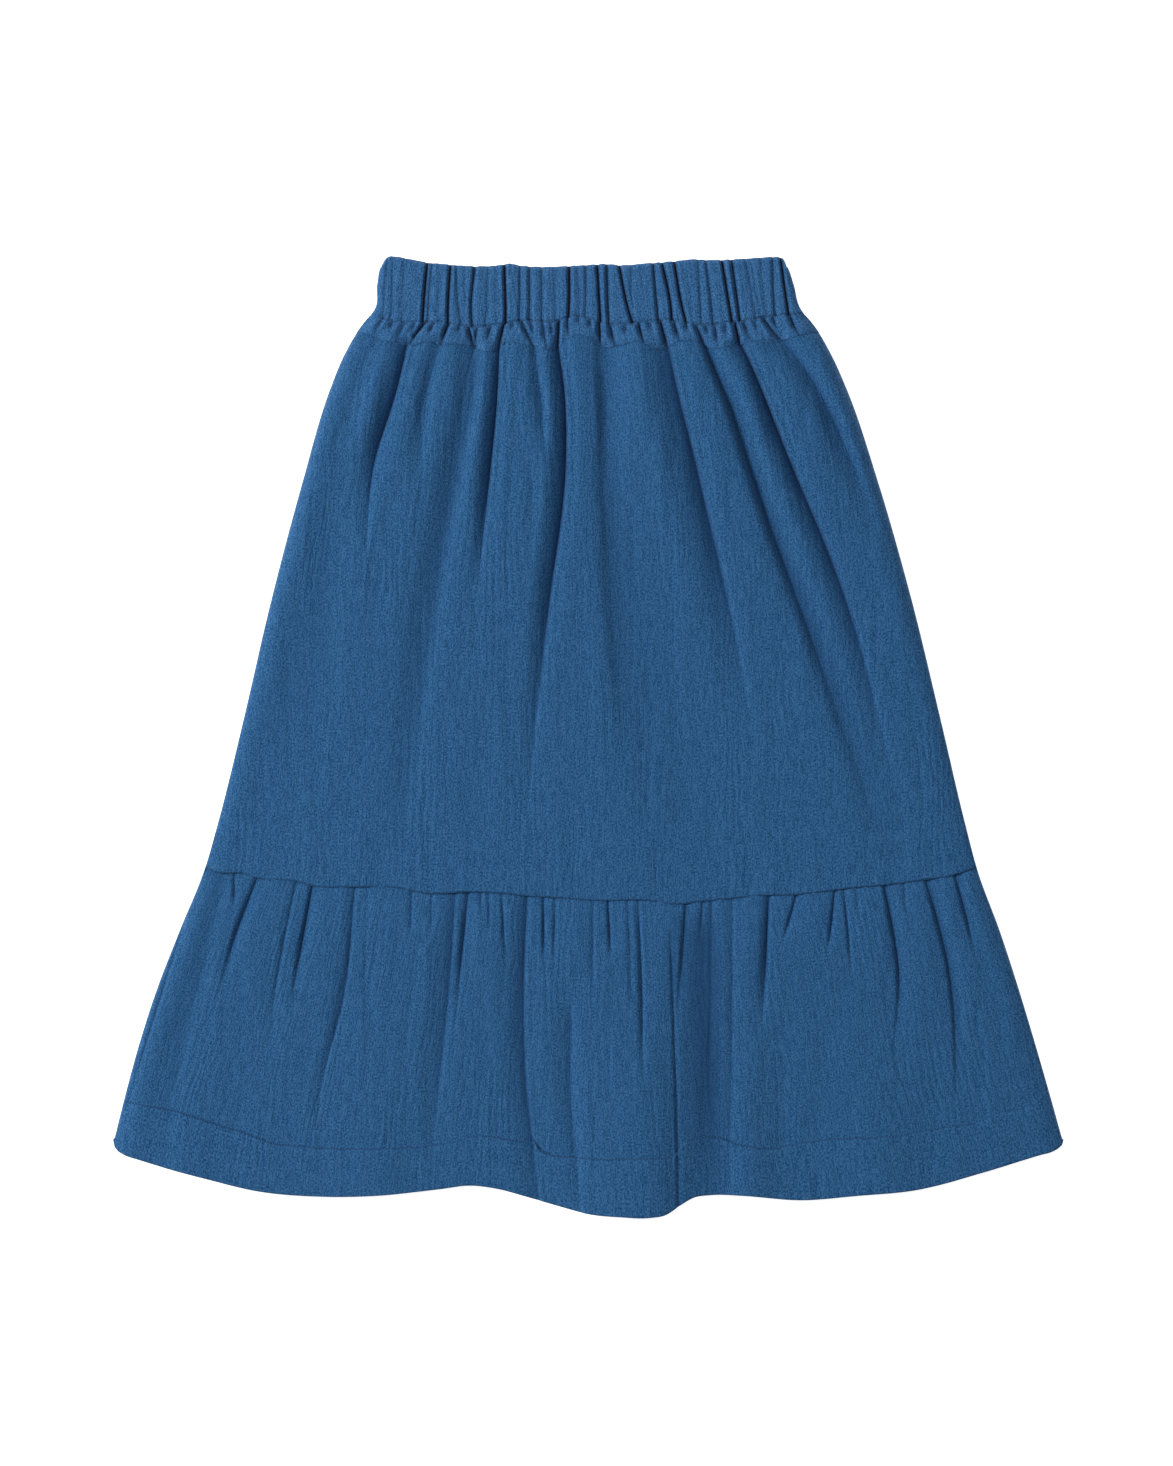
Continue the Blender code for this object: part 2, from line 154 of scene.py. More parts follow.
def smoothness(x, down, stations, folds, widening=0, foot_reach=10):
    """The share of the puff left by the folds: the product of one minus each fold's depth there. A fold
    with a narrow slope falls from a raised shoulder in a round brow, a power of one minus the reach, and
    the others are troughs, a squared cosine. All have a foot, foot_reach wider, and widen downwards."""
    left = np.ones_like(x)
    for fold in folds:
        offset = x - curve(tuple(zip(stations, fold.line)), down)
        width = np.where(offset < 0, fold.left, fold.right) * (1 + widening * down)
        reach = np.abs(offset) / width
        narrow = np.clip(2 - min(fold.left, fold.right) / 4, 0, 1)
        crisp = narrow * (1 - 0.7 * ease(0.2, 1.0, down / fold.end))
        brow = (1 - np.clip(reach, 0, 1)) ** 2.1
        trough = np.cos(np.pi / 2 * np.clip(reach, 0, 1)) ** 2
        foot = np.cos(np.pi / 2 * np.clip(np.abs(offset) / (width + foot_reach), 0, 1)) ** 2
        shoulder = dip(reach - 1.3, 0.45)
        valley = 0.65 * (crisp * brow + (1 - crisp) * trough) + 0.35 * foot - 0.12 * crisp * shoulder
        fading = 1 - ease(fold.end * 0.4, fold.end, down)
        if fold.start > 0:
            fading = fading * ease(fold.start - 0.1, fold.start + 0.1, down)
        left = left * (1 - fold.depth * fading * valley)
    return left


def spaced(count, spots, width):
    """Places from 0 to 1, three times as close together round the spots as between them."""
    fine = np.linspace(0, 1, 4000)
    crowding = np.ones_like(fine)
    for spot in spots:
        crowding = crowding + 2 * dip(fine - spot, width)
    measure = np.cumsum(crowding)
    return np.interp(np.linspace(measure[0], measure[-1], count + 1), measure, fine)


def plan(edges, downs, columns, stations, folds):
    """A piece's points in plan, in rows from its first edge to its last through any line between, each
    edge a (share of the way down, line) row: x, y, distance in from the side, share of the way across
    and share of the way down. The columns crowd round the folds and the sides, where the cloth bends."""
    heights, lefts, rights = np.array(SIDES, float).T
    places = np.array([place for place, line in edges])

    def height(x, down):
        """The y at x of the row that lies the given share of the way down."""
        lines = np.stack([curve(line, x) for place, line in edges])
        low = min(np.searchsorted(places, down, side="right") - 1, len(places) - 2)
        u = (down - places[low]) / (places[low + 1] - places[low])
        return lines[low] * (1 - u) + lines[low + 1] * u

    rows = []
    for down in downs:
        left, right = lefts.min(), rights.max()
        for nearer in range(4):
            left = curve(tuple(zip(heights, lefts)), height(np.array([left]), down))[0]
            right = curve(tuple(zip(heights, rights)), height(np.array([right]), down))[0]
        fine = np.linspace(left, right, 3000)
        crowding = 1 + 3 * np.exp((left - fine) / 5) + 3 * np.exp((fine - right) / 5)
        for fold in folds:
            line = curve(tuple(zip(stations, fold.line)), np.array([down]))[0]
            crowding = crowding + 7 * fold.depth * dip(fine - line, 2.5)
        measure = np.cumsum(crowding)
        x = np.interp(np.linspace(measure[0], measure[-1], columns + 1), measure, fine)
        share = (x - left) / (right - left)
        inward = np.minimum(x - left, right - x)
        rows.append(np.stack([x, height(x, down), inward, share, np.full_like(x, down)]))
    return np.stack(rows, axis=1)


def double_gauze_group():
    """Colour, height in millimetres and roughness of double gauze at a point of its cut, in metres:
    over and under threads, a fine grain of pale nap over darker thread, and lengthwise crinkle, which
    is a sine 6.3 mm long whose phase drifts and whose lines come and go with slow noise. The colour
    also carries painted shade, mixed towards a dark blue by a share that is high in folds and seams."""
    group = bpy.data.node_groups.new("double_gauze", "ShaderNodeTree")
    for name, side, kind in (
        ("Cut Place", "INPUT", "NodeSocketVector"),
        ("Painted Shade", "INPUT", "NodeSocketFloat"),
        ("Thread Color", "INPUT", "NodeSocketColor"),
        ("Nap Color", "INPUT", "NodeSocketColor"),
        ("Painted Shade Color", "INPUT", "NodeSocketColor"),
        ("Color", "OUTPUT", "NodeSocketColor"),
        ("Height", "OUTPUT", "NodeSocketFloat"),
        ("Roughness", "OUTPUT", "NodeSocketFloat"),
    ):
        group.interface.new_socket(name, in_out=side, socket_type=kind)
    nodes = group.nodes
    link = group.links.new
    given = nodes.new("NodeGroupInput")
    made = nodes.new("NodeGroupOutput")

    def placed(scale, texture):
        """A texture node read at the cut's place times the scale."""
        mapping = nodes.new("ShaderNodeMapping")
        mapping.inputs["Scale"].default_value = scale
        link(given.outputs["Cut Place"], mapping.inputs["Vector"])
        link(mapping.outputs["Vector"], texture.inputs["Vector"])
        return texture

    def calculated(operation, first, second):
        """A math node on two values, each a socket or a number."""
        node = nodes.new("ShaderNodeMath")
        node.operation = operation
        for socket, value in zip(node.inputs, (first, second)):
            if isinstance(value, (int, float)):
                socket.default_value = value
            else:
                link(value, socket)
        return node.outputs[0]

    def summed(start, *parts):
        """The start plus each part's texture times its share."""
        total = start
        for texture, share in parts:
            total = calculated("ADD", total, calculated("MULTIPLY", texture, share))
        return total

    def noise_at(scale, detail, roughness=0.5):
        """Noise from 0 to 1 with the given cells per metre across and along the cut."""
        texture = placed((*scale, 1), nodes.new("ShaderNodeTexNoise"))
        texture.inputs["Scale"].default_value = 1.0
        texture.inputs["Detail"].default_value = detail
        texture.inputs["Roughness"].default_value = roughness
        return texture.outputs["Fac"]

    def threads_along(direction):
        """The over and under of threads 0.5 mm apart."""
        wave = placed((1, 1, 1), nodes.new("ShaderNodeTexWave"))
        wave.bands_direction = direction
        wave.inputs["Scale"].default_value = 630
        wave.inputs["Distortion"].default_value = 1.2
        return wave.outputs["Fac"]

    grain = noise_at((900, 640), 1.0)
    rows = noise_at((820, 90), 1.0)
    lumps = noise_at((150, 90), 2.0)
    streaks = noise_at((240, 12), 2.0, 0.6)
    across = nodes.new("ShaderNodeSeparateXYZ")
    link(given.outputs["Cut Place"], across.inputs[0])
    phase = summed(0, (across.outputs["X"], 1000), (noise_at((38, 11), 2.0), 26))
    showing = calculated("MAXIMUM", summed(-1.4, (noise_at((30, 9), 2.0), 3.6)), 0)
    lines = calculated("MULTIPLY", calculated("SINE", phase, 0), showing)
    threads = calculated("MULTIPLY", threads_along("X"), threads_along("Y"))
    fine = (grain, 0.9), (rows, 0.6), (threads, 0.12)
    broad = (lumps, 0.1), (streaks, 0.2), (lines, 0.22)
    link(summed(0, *fine, *broad), made.inputs["Height"])

    pale = summed(-1.92, (grain, 3.4), (rows, 1.24), (streaks, 0.2), (lines, 0.15))
    surface = nodes.new("ShaderNodeMix")
    surface.data_type = "RGBA"
    link(pale, surface.inputs["Factor"])
    link(given.outputs["Thread Color"], surface.inputs["A"])
    link(given.outputs["Nap Color"], surface.inputs["B"])
    # Painted shade: the grain's colour is mixed towards the dark shade colour by the painted shade
    # share.
    painted_shade_mix = nodes.new("ShaderNodeMix")
    painted_shade_mix.data_type = "RGBA"
    link(given.outputs["Painted Shade"], painted_shade_mix.inputs["Factor"])
    link(surface.outputs["Result"], painted_shade_mix.inputs["A"])
    link(given.outputs["Painted Shade Color"], painted_shade_mix.inputs["B"])
    link(painted_shade_mix.outputs["Result"], made.inputs["Color"])
    link(summed(0.84, (lumps, 0.12)), made.inputs["Roughness"])
    return group


THREAD_BLUE = (0.001, 0.053, 0.156, 1)
NAP_BLUE = (0.036, 0.140, 0.316, 1)
# The near-black blue of painted shade, which folds and seams are darkened towards.
PAINTED_SHADE_BLUE = (0.0015, 0.034, 0.108, 1)
gauze_weave = double_gauze_group()


def gauze(name, nap_color, painted_shade_color, bump):
    """Matte double gauze: THREAD_BLUE under the given nap, with painted shade in its folds and seams."""
    material = bpy.data.materials.new(name)
    material.use_nodes = True
    nodes = material.node_tree.nodes
    link = material.node_tree.links.new
    shader = nodes["Principled BSDF"]
    shader.inputs["Sheen Weight"].default_value = 0.04
    shader.inputs["Sheen Roughness"].default_value = 0.6
    shader.inputs["Specular IOR Level"].default_value = 0.25
    cut = nodes.new("ShaderNodeUVMap")
    cut.uv_map = "cut"
    # The painted shade share that each piece of cloth carries.
    painted_shade_mask = nodes.new("ShaderNodeAttribute")
    painted_shade_mask.attribute_name = "painted_shade"
    weave = nodes.new("ShaderNodeGroup")
    weave.node_tree = gauze_weave
    weave.inputs["Thread Color"].default_value = THREAD_BLUE
    weave.inputs["Nap Color"].default_value = nap_color
    weave.inputs["Painted Shade Color"].default_value = painted_shade_color
    relief = nodes.new("ShaderNodeBump")
    relief.inputs["Strength"].default_value = bump
    relief.inputs["Distance"].default_value = MM
    link(cut.outputs["UV"], weave.inputs["Cut Place"])
    link(painted_shade_mask.outputs["Fac"], weave.inputs["Painted Shade"])
    link(weave.outputs["Height"], relief.inputs["Height"])
    link(weave.outputs["Color"], shader.inputs["Base Color"])
    link(weave.outputs["Roughness"], shader.inputs["Roughness"])
    link(relief.outputs["Normal"], shader.inputs["Normal"])
    return material


panel_gauze = gauze("panel_gauze", NAP_BLUE, PAINTED_SHADE_BLUE, 0.6)


def cloth(name, x, y, z, cut, painted_shade_mask, wall, faces_up, material):
    """A sheet of cloth through a grid of points in millimetres, with its place in the cut as UVs, its
    painted shade in folds and seams as an attribute, and its thickness grown inwards by Solidify."""
    rows, columns = x.shape
    corner = np.arange(rows * columns).reshape(rows, columns)
    faces = [corner[:-1, :-1], corner[1:, :-1], corner[1:, 1:], corner[:-1, 1:]]
    faces = np.stack(faces if faces_up else faces[::-1], axis=-1).reshape(-1, 4)
    mesh = bpy.data.meshes.new(name)
    mesh.from_pydata(np.stack([x, y, z], axis=-1).reshape(-1, 3) * MM, [], faces)
    uv = mesh.uv_layers.new(name="cut")
    uv.data.foreach_set("uv", (cut.reshape(-1, 2) * MM)[faces.ravel()].astype(np.float32).ravel())
    # Painted shade: how much the material darkens the colour at each point.
    painted_shade = mesh.attributes.new("painted_shade", "FLOAT", "POINT")
    painted_shade.data.foreach_set("value", painted_shade_mask.astype(np.float32).ravel())
    mesh.shade_smooth()
    mesh.materials.append(material)
    piece = bpy.data.objects.new(name, mesh)
    bpy.context.scene.collection.objects.link(piece)
    solidify = piece.modifiers.new("thickness", "SOLIDIFY")
    solidify.thickness = wall * MM
    solidify.offset = -1
    return piece


SWELL = 0.4


def crinkled(x, y, share, width, seed, depth):
    """The cloth's crinkled relief in millimetres: slow noise up and down by the swell, less the depth
    times the tucks. The width is about that of the cut, which sets how close the fanned tucks lie."""
    swell = noise(x + 0.05 * y, y, 9, 52, seed + 3)
    return SWELL * swell - depth * tucks(share * width, x, y, seed)


def painted_valley_shade(left, painted_seam_lines=0):
    """Painted shade, 0 to 1: how much darker the colour is made in a fold or along a seam, the share of
    the puff that is gone, squared, and any painted lines of shade along the seams on top."""
    return np.clip((1 - left) ** 2 + painted_seam_lines, 0, 1)


def panel_height(x, down, inward):
    """Outer height of the front panel: the layers below it, the back's rise and the folded puff, all
    rolling down to the side."""
    rolled = roll(inward, SIDE_ROLL)
    layers = 2 * CLOTH + LAYERS_APART + curve(PANEL_RISE, down)
    puff = curve(PANEL_PUFF, down) * smoothness(x, down, PANEL_STATIONS, PANEL_FOLDS, PANEL_WIDENING)
    half = CLOTH + LAYERS_APART / 2
    return half + (layers - half + puff) * rolled


def sewn_on(piece, node, stitches=()):
    """Attaches a piece of cloth and its rows of stitches to the root body, and hides the part of that
    name.
    """
    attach(piece, "root")
    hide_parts(node)
    for row in stitches:
        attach(row, "root")


def raised(rows, by):
    """The same line, higher up the skirt by some millimetres."""
    return tuple((place, height + by) for place, height in rows)


def trapezium(share, down):
    """A panel's place in its cut: its width there times the share across its middle, and its length
    times the share of the way down."""
    wide = PANEL_TOP + (PANEL_BOTTOM - PANEL_TOP) * down
    return np.stack([(share - 0.5) * wide, down * PANEL_LONG], axis=-1)


downs = spaced(110, (0, 0.06, 1), 0.05)
edges = ((0, raised(BAND_SEAM, 2)), (1, FLOUNCE_SEAM))
x, y, inward, share, down = plan(edges, downs, 430, PANEL_STATIONS, PANEL_FOLDS)
crinkle = crinkled(x, y, share, width=480, seed=11, depth=0.9 - 0.5 * ease(0.2, 0.7, down))
z = panel_height(x, down, inward)
below_band = curve(BAND_SEAM, x) - y
above_flounce = y - curve(FLOUNCE_SEAM, x)
left = smoothness(x, down, PANEL_STATIONS, PANEL_FOLDS, PANEL_WIDENING)
# Painted shade: darker in the folds, under the waistband's seam and over the flounce's seam.
painted_shade_mask = painted_valley_shade(left, 0.4 * dip(below_band, 0.8) + 0.35 * dip(above_flounce, 0.7))
z = z - SEAM_STEP * dip(below_band, 1.6) - 0.35 * dip(above_flounce, 1.2)
z = z + crinkle * roll(inward, 6) * ease(0, 6, above_flounce)
z = np.maximum(z, CLOTH + FLOOR_CLEAR)
cut = trapezium(share, down)
skirt_front = cloth("skirt_front_cloth", x, y, z, cut, painted_shade_mask, CLOTH, True, panel_gauze)
sewn_on(skirt_front, "skirt_front")

# The back skirt panel, cut like the front one and joined to it at both sides. It lies on the floor:
# it is flat there, and between its resting stretches narrow folds rise inside the skirt.
BACK_FOLDS = (
    Fold((-158, -170, -184, -202, -240), 0.75, 0.0, 0.55, 5, 14),
    Fold((-118, -126, -137, -152, -180), 0.90, 0.0, 0.62, 5, 14),
    Fold((-84, -89, -95, -104, -120), 0.60, 0.0, 0.40, 10, 10),
    Fold((-50, -52, -56, -62, -70), 0.95, 0.0, 0.66, 5, 14),
    Fold((-12, -12, -10, -6, 0), 0.70, 0.0, 0.50, 13, 6),
    Fold((30, 33, 38, 45, 60), 0.90, 0.0, 0.60, 13, 6),
    Fold((66, 72, 80, 92, 112), 0.65, 0.0, 0.45, 8, 11),
    Fold((104, 114, 127, 148, 180), 0.95, 0.0, 0.66, 5, 14),
    Fold((150, 163, 180, 204, 245), 0.70, 0.0, 0.48, 12, 6),
)


def back_height(down, inward, left, rise_rows):
    """Outer height of a back piece: 0 where it rests, up to its rise in the folds, and curling up to
    meet the front at the side."""
    half = CLOTH + LAYERS_APART / 2
    lift = curve(rise_rows, down) * roll(inward, SIDE_ROLL) * (1 - left)
    return half * (1 - roll(inward, 2.5)) + lift


downs = spaced(78, (0, 1), 0.06)
x, y, inward, share, down = plan(edges, downs, 270, PANEL_STATIONS, BACK_FOLDS)
crinkle = crinkled(x, y, share, width=480, seed=31, depth=0.5)
left = smoothness(x, down, PANEL_STATIONS, BACK_FOLDS)
# Painted shade, at less strength: darker in the folds and under the waistband's seam.
painted_shade_mask = 0.4 * painted_valley_shade(left, 0.7 * dip(curve(BAND_SEAM, x) - y, 1.6))
z = back_height(down, inward, left, PANEL_RISE)
z = z + SEAM_STEP * dip(curve(BAND_SEAM, x) - y, 2.0) + 0.4 * dip(y - curve(FLOUNCE_SEAM, x), 1.0)
z = z + np.clip(SWELL - crinkle, 0, 1)
cut = trapezium(share, down)
skirt_back = cloth("skirt_back_cloth", x, y, z, cut, painted_shade_mask, CLOTH, False, panel_gauze)
sewn_on(skirt_back, "skirt_back")

# The waistband, a casing folded over a 50 mm elastic and sewn to the gathered skirt. The elastic
# draws it into narrow uneven ribs, and a stitched row below the elastic leaves a puckered strip.
CASING_BACK = 3.6
CASING_PLAIN = 1.9
CASING_RIB = 3.9
CASING_CLEAR = 0.6
BAND_ROLL = 7.0
BAND_DEEP = 70
BAND_CUT = (460, 74)
TOP_EDGE = (
    (-170, 384), (-168, 388), (-166, 391), (-163, 393), (-158, 392.8), (-148, 391), (-132, 388),
    (-122, 387), (-72, 386), (-66, 387), (-56, 385.5), (0, 386), (14, 386.8), (26, 385.8),
    (50, 387.5), (75, 389.5), (84, 390.5), (100, 390), (142, 392), (152, 392.6), (157, 392.3),
    (159.5, 391), (161, 388), (162.5, 384),
)
ELASTIC_ROW = (
    (-184, 346), (-174, 344), (-164, 340.5), (-154, 339), (-122, 339), (-89, 335), (-73, 337),
    (-56, 340), (-23, 340.5), (-13, 344), (1, 342), (18, 337), (42, 339), (71, 340.5), (91, 337),
    (128, 340.5), (157, 344.5), (180, 346),
)
BAND_STATIONS = (0.0, 0.5, 1.0)
# A groove between two ribs has its x at the top, the middle and the bottom of the band, and its depth.
Groove = namedtuple("Groove", "top middle bottom depth")
BAND_GROOVES = (
    Groove(-164, -167, -169, 0.20), Groove(-160, -161, -163, 0.25), Groove(-150, -152, -151, 0.20),
    Groove(-132, -135, -137, 1.00), Groove(-128, -131, -132, 0.45), Groove(-121, -123, -122, 0.15),
    Groove(-113, -115, -115, 0.95), Groove(-108, -106, -100, 0.35), Groove(-101, -101, -102, 0.15),
    Groove(-93, -96, -92, 0.75), Groove(-82, -83, -86, 0.25), Groove(-76, -75, -73, 0.18),
    Groove(-69, -68, -68, 1.00), Groove(-56, -56, -57, 0.45), Groove(-48, -48, -49, 0.50),
    Groove(-38, -38, -37, 0.35), Groove(-27, -27, -27, 0.20), Groove(-16, -16, -18, 1.00),
    Groove(-9, -7, -9, 0.18), Groove(-2, -2, -4, 0.40), Groove(7, 9, 11, 0.97),
    Groove(15, 16, 18, 0.70), Groove(25, 32, 42, 0.94), Groove(35, 36, 40, 0.25),
    Groove(53, 56, 59, 0.65), Groove(60, 67, 69, 0.98), Groove(70, 76, 86, 1.00),
    Groove(90, 92, 94, 0.35), Groove(96, 101, 104, 0.45), Groove(109, 115, 121, 1.00),
    Groove(117, 122, 126, 0.80), Groove(129, 135, 142, 0.30), Groove(133, 139, 146, 0.18),
    Groove(141, 144, 148, 0.25), Groove(151, 152, 155, 0.45), Groove(157, 162, 166, 0.95),
)
front_grooves = tuple(
    Fold((g.top, g.middle, g.bottom), g.depth, 0.0, 9.0, 2.9 - 1.1 * g.depth, 4.2 - 1.4 * g.depth)
    for g in BAND_GROOVES
)
# A gather below the elastic has its x on the stitched row and on the seam, its depth and its end.
Gather = namedtuple("Gather", "row seam depth end")
HEADING_GATHERS = (
    Gather(-168, -176, 0.50, 9), Gather(-160, -165, 0.55, 0.5), Gather(-150, -158, 0.45, 9),
    Gather(-142, -147, 0.50, 0.6), Gather(-133, -148, 0.97, 9), Gather(-126, -132, 0.60, 0.7),
    Gather(-114, -121, 0.85, 9), Gather(-105, -108, 0.55, 0.5), Gather(-98, -94, 0.80, 9),
    Gather(-91, -93, 0.60, 9), Gather(-80, -82, 0.65, 0.6), Gather(-69, -73, 0.98, 9),
    Gather(-62, -60, 0.55, 0.5), Gather(-55, -45, 0.75, 9), Gather(-47, -42, 0.50, 0.6),
    Gather(-37, -34, 0.50, 9), Gather(-30, -29, 0.55, 0.7), Gather(-24, -25, 0.97, 9),
    Gather(-17, -16, 0.60, 9), Gather(-8, -6, 0.50, 0.5), Gather(2, 1, 0.60, 0.6),
    Gather(9, 10, 0.85, 9), Gather(18, 22, 0.70, 9), Gather(30, 33, 0.60, 0.6),
    Gather(41, 45, 0.80, 9), Gather(50, 54, 0.60, 0.5), Gather(59, 65, 0.94, 9),
    Gather(70, 75, 0.70, 9), Gather(80, 83, 0.55, 0.6), Gather(88, 94, 0.80, 9),
    Gather(97, 99, 0.60, 0.5), Gather(104, 106, 0.55, 9), Gather(112, 115, 0.60, 0.6),
    Gather(120, 124, 0.97, 9), Gather(127, 133, 0.70, 9), Gather(136, 142, 0.50, 0.6),
    Gather(143, 158, 0.80, 9), Gather(151, 158, 0.60, 0.6), Gather(165, 172, 0.75, 9),
)
HEADING_RISE = 2.4
HEADING_PUFF = ((0, 4.0), (0.3, 5.8), (0.65, 7.0), (1, 7.6))
heading_folds = tuple(Fold((g.row, g.seam), g.depth, 0.0, g.end, 3.6, 2.0) for g in HEADING_GATHERS)


def strip_cut(share, down, cut_size):
    """A straight strip's place in its cut: its width times the share across its middle, and its length
    times the share of the way down."""
    wide, long = cut_size
    return np.stack([(share - 0.5) * wide, down * long], axis=-1)


def heading(x, into, inward):
    """Height of the strip from the elastic's row (into 0) to the seam (into 1): it puffs up between
    gathers that run from the casing's grooves to the panel's folds."""
    folded = smoothness(x, into, (0, 1), heading_folds, 0, 3)
    layers = 2 * CLOTH + LAYERS_APART + HEADING_RISE
    return CLOTH + (layers - CLOTH + curve(HEADING_PUFF, into) * folded) * roll(inward, SIDE_ROLL)


# The near-black blue of painted shade in the waistband's grooves, gathers and seams.
PAINTED_GROOVE_SHADE_BLUE = (0.0008, 0.009, 0.034, 1)
STITCH_PITCH = 2.5
STITCH_LENGTH = 1.6
STITCH_RADIUS = 0.38
STITCH_SINK = 0.15


def thread(name, color):
    """Sewing thread, darker than the cloth, with its twist as fine slanting bands."""
    material = bpy.data.materials.new(name)
    material.use_nodes = True
    nodes = material.node_tree.nodes
    link = material.node_tree.links.new
    shader = nodes["Principled BSDF"]
    shader.inputs["Roughness"].default_value = 0.7
    place = nodes.new("ShaderNodeTexCoord")
    twist = nodes.new("ShaderNodeTexWave")
    twist.bands_direction = "DIAGONAL"
    twist.inputs["Scale"].default_value = 1800
    ramp = nodes.new("ShaderNodeMix")
    ramp.data_type = "RGBA"
    ramp.inputs["A"].default_value = tuple(0.6 * channel for channel in color[:3]) + (1,)
    ramp.inputs["B"].default_value = color
    link(place.outputs["Object"], twist.inputs["Vector"])
    link(twist.outputs["Fac"], ramp.inputs["Factor"])
    link(ramp.outputs["Result"], shader.inputs["Base Color"])
    return material


def stitch_row(name, x, y, z, up, material):
    """Topstitches along a line of points in millimetres: bars that arch up out of the cloth between
    their two holes, the radius shrinking to the ends as the square root of one minus u squared."""
    rings, corners = 7, 6
    run = np.concatenate([[0], np.cumsum(np.hypot(np.diff(x), np.diff(y)))])
    middles = np.arange(STITCH_PITCH, run[-1] - STITCH_PITCH, STITCH_PITCH)
    u = np.linspace(-1, 1, rings)
    turn = np.arange(corners) * 2 * np.pi / corners
    at = middles[:, None, None] + u[None, :, None] * STITCH_LENGTH / 2 + 0 * turn[None, None, :]
    along_x = np.interp(at + 0.1, run, x) - np.interp(at - 0.1, run, x)
    along_y = np.interp(at + 0.1, run, y) - np.interp(at - 0.1, run, y)
    size = np.hypot(along_x, along_y)
    arch = np.sqrt(1 - (0.98 * u[None, :, None]) ** 2)
    radius = STITCH_RADIUS * arch
    px = np.interp(at, run, x) - along_y / size * radius * np.cos(turn)
    py = np.interp(at, run, y) + along_x / size * radius * np.cos(turn)
    pz = np.interp(at, run, z) + up * (radius * (np.sin(turn) + 1) - STITCH_SINK - STITCH_RADIUS * 0.6)
    corner = np.arange(pz.size).reshape(len(middles), rings, corners)
    here, onward = corner[:, :-1, :], corner[:, 1:, :]
    faces = np.stack([here, np.roll(here, -1, axis=-1), np.roll(onward, -1, axis=-1), onward], axis=-1)
    mesh = bpy.data.meshes.new(name)
    mesh.from_pydata(np.stack([px, py, pz], axis=-1).reshape(-1, 3) * MM, [], faces.reshape(-1, 4))
    mesh.shade_smooth()
    mesh.materials.append(material)
    row = bpy.data.objects.new(name, mesh)
    bpy.context.scene.collection.objects.link(row)
    return row


blue_thread = thread("blue_thread", (0.024, 0.110, 0.255, 1))
casing_gauze = gauze("casing_gauze", (0.050, 0.165, 0.365, 1), PAINTED_GROOVE_SHADE_BLUE, 0.5)
ROW_PLACE = 0.7
rows_above = spaced(36, (0, 1), 0.08) * ROW_PLACE
rows_below = ROW_PLACE + (1 - ROW_PLACE) * spaced(18, (0, 1), 0.1)
downs = np.concatenate([rows_above, rows_below[1:]])
edges = ((0, TOP_EDGE), (ROW_PLACE, ELASTIC_ROW), (1, BAND_SEAM))
x, y, inward, share, down = plan(edges, downs, 620, BAND_STATIONS, front_grooves)
crinkle = crinkled(x, y, share, width=340, seed=51, depth=0.6)
ribs = smoothness(x, down, BAND_STATIONS, front_grooves, 0, 2)
below_row = curve(ELASTIC_ROW, x) - y
above_seam = y - curve(BAND_SEAM, x)
into = np.clip((down - ROW_PLACE) / (1 - ROW_PLACE), 0, 1)
gathered = smoothness(x, into, (0, 1), heading_folds, 0, 3)
# Painted shade: near black in the grooves and gathers, darker along the stitched row and over the seam.
painted_groove_shade = 1.3 * (1 - np.where(down > ROW_PLACE, gathered, ribs))
painted_shade_mask = np.clip(painted_groove_shade**1.6 + 0.5 * dip(below_row, 0.6), 0, 1)
painted_shade_mask = np.maximum(painted_shade_mask, 0.3 * dip(above_seam, 0.8))
y = y - (1 - ribs) * dip(down * BAND_DEEP, 3.0)
closed = roll(inward + 0.6, BAND_ROLL) * roll(down * BAND_DEEP + 0.5, 5)
casing = CASING_BACK + LAYERS_APART + (CASING_PLAIN + CASING_RIB * ribs) * closed
joined = ease(0.35, 1, into)
strip = heading(x, into, inward) * (1 - joined) + panel_height(x, 0 * x, inward) * joined
mixed = ease(-2, 4, below_row)
z = casing * (1 - mixed) + strip * mixed
z = z - 0.9 * dip(below_row, 0.9) - SEAM_STEP * dip(above_seam, 1.2)
z = z + 0.6 * crinkle * roll(inward, 4)
z = np.maximum(z, CASING_BACK + CASING_CLEAR)
cut = strip_cut(share, down, BAND_CUT)
band_front = cloth("waistband_front_cloth", x, y, z, cut, painted_shade_mask, CLOTH, True, casing_gauze)
sewn_row = int(np.argmin(np.abs(downs - ROW_PLACE)))
row_front = stitch_row("elastic_stitches_front", x[sewn_row], y[sewn_row], z[sewn_row], 1, blue_thread)
sewn_on(band_front, "waistband_front", [row_front])

# The waistband's back, the other half of the same casing, behind the front. It rests on the floor by
# its ribs, and the grooves between them rise towards the elastic.
BACK_GROOVES = 30


def uneven_grooves():
    """The back casing's grooves, about 11 mm apart and as uneven as the front's."""
    grooves = []
    for index in range(BACK_GROOVES):
        line = -158 + 316 * (index + 0.5 + 0.3 * np.sin(2.4 * index)) / BACK_GROOVES
        depth = 0.65 + 0.3 * np.sin(1.7 * index + 0.6)
        lean = 0.03 * line + 1.5 * np.sin(3.1 * index)
        lines = (line, line + lean / 2, line + lean)
        grooves.append(Fold(lines, depth, 0.0, 3.0, 3.6, 2.8))
    return tuple(grooves)


back_grooves = uneven_grooves()
x, y, inward, share, down = plan(edges, downs, 300, BAND_STATIONS, back_grooves)
crinkle = crinkled(x, y, share, width=340, seed=71, depth=0.5)
ribs = smoothness(x, down, BAND_STATIONS, back_grooves, 0, 4)
below_row = curve(ELASTIC_ROW, x) - y
